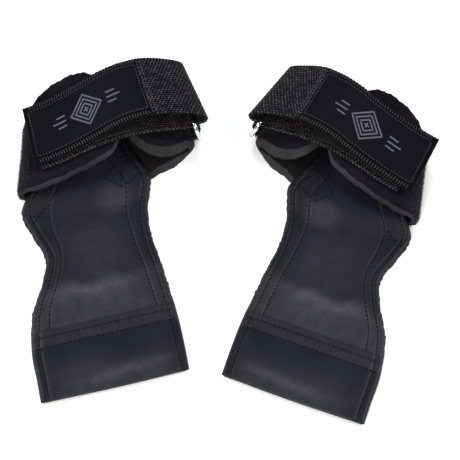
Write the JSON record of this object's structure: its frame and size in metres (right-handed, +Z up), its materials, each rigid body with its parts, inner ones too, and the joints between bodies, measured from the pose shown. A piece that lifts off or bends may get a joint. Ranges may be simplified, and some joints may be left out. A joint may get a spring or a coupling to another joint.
{
  "type": "hand grips",
  "caption": "Mirrored pair of palm grips for bar work: neoprene wrist cuff, webbing strap turned back through a steel ring, long leather palm pad with a folded end.",
  "frame": {"origin": "on the surface under the middle of the pair", "axes": "+Z up from the surface, +Y from the pads' ends towards the cuffs, +X from the left grip to the right grip"},
  "size_m": [0.3084, 0.289, 0.0499],
  "materials": {
    "palm_leather": "matte rubberised leather, fine grain, softly worn",
    "backing_cloth": "plain woven black backing",
    "foam": "charcoal closed-cell foam",
    "neoprene": "loop-pile cloth over neoprene foam",
    "webbing": "ribbed woven polyester webbing",
    "hook_and_loop": "hook and loop fastener tape",
    "label_satin": "satin label with a printed plain emblem",
    "ring_steel": "polished nickel-plated wire"
  },
  "bodies": {
    "left_cuff": {"left_cuff_base": "neoprene", "left_cuff_side_fold": "neoprene", "left_cuff_long_wing": "neoprene", "left_cuff_ring_fold": "neoprene", "left_cuff_short_wing": "neoprene", "left_strap_lower_leg": "webbing", "left_loop_strip": "hook_and_loop", "left_ring_tab": "webbing", "left_heel_backing": "backing_cloth", "left_heel_face": "palm_leather"},
    "left_ring": {"left_ring": "ring_steel"},
    "left_strap": {"left_strap_bight": "webbing", "left_strap_upper_leg": "webbing", "left_hook_strip": "hook_and_loop", "left_label": "label_satin"},
    "left_blade": {"left_blade_backing": "backing_cloth", "left_blade_core": "foam", "left_blade_thumb_tape": "webbing", "left_blade_outer_tape": "webbing", "left_blade_face": "palm_leather"},
    "left_tip": {"left_tip_cover": "palm_leather", "left_tip_core": "foam"},
    "right_cuff": {"right_cuff_base": "neoprene", "right_cuff_side_fold": "neoprene", "right_cuff_long_wing": "neoprene", "right_cuff_ring_fold": "neoprene", "right_cuff_short_wing": "neoprene", "right_strap_lower_leg": "webbing", "right_loop_strip": "hook_and_loop", "right_ring_tab": "webbing", "right_heel_backing": "backing_cloth", "right_heel_face": "palm_leather"},
    "right_ring": {"right_ring": "ring_steel"},
    "right_strap": {"right_strap_bight": "webbing", "right_strap_upper_leg": "webbing", "right_hook_strip": "hook_and_loop", "right_label": "label_satin"},
    "right_blade": {"right_blade_backing": "backing_cloth", "right_blade_core": "foam", "right_blade_thumb_tape": "webbing", "right_blade_outer_tape": "webbing", "right_blade_face": "palm_leather"},
    "right_tip": {"right_tip_cover": "palm_leather", "right_tip_core": "foam"}
  },
  "joints": [
    {"name": "left_ring_swivel", "type": "hinge", "parent": "left_cuff", "child": "left_ring", "pos_m": [-0.02665, 0.1155, 0.0125], "axis": [-0.2538, 0.9673, 0], "range_deg": [0, 35]},
    {"name": "left_strap_peel", "type": "hinge", "parent": "left_ring", "child": "left_strap", "pos_m": [-0.02665, 0.1155, 0.033], "axis": [-0.2538, 0.9673, 0], "range_deg": [0, 110]},
    {"name": "left_blade_fold", "type": "hinge", "parent": "left_cuff", "child": "left_blade", "pos_m": [-0.10281, 0.03143, 0.0019], "axis": [-0.9673, -0.2538, 0], "range_deg": [0, 100]},
    {"name": "left_tip_curl", "type": "hinge", "parent": "left_blade", "child": "left_tip", "pos_m": [-0.09343, -0.05554, 0.0025], "axis": [-0.9673, -0.2538, 0], "range_deg": [0, 100]},
    {"name": "right_ring_swivel", "type": "hinge", "parent": "right_cuff", "child": "right_ring", "pos_m": [0.02956, 0.1167, 0.0125], "axis": [-0.4368, -0.8996, 0], "range_deg": [0, 35]},
    {"name": "right_strap_peel", "type": "hinge", "parent": "right_ring", "child": "right_strap", "pos_m": [0.02956, 0.1167, 0.033], "axis": [-0.4368, -0.8996, 0], "range_deg": [0, 110]},
    {"name": "right_blade_fold", "type": "hinge", "parent": "right_cuff", "child": "right_blade", "pos_m": [0.08755, 0.01631, 0.0019], "axis": [-0.9278, 0.373, 0], "range_deg": [0, 100]},
    {"name": "right_tip_curl", "type": "hinge", "parent": "right_blade", "child": "right_tip", "pos_m": [0.06735, -0.06879, 0.0025], "axis": [-0.9278, 0.373, 0], "range_deg": [0, 100]},
    {"name": "right_grip_apart", "type": "slide", "parent": "left_cuff", "child": "right_cuff", "axis": [1, 0, 0], "range_m": [0, 0.2]}
  ]
}
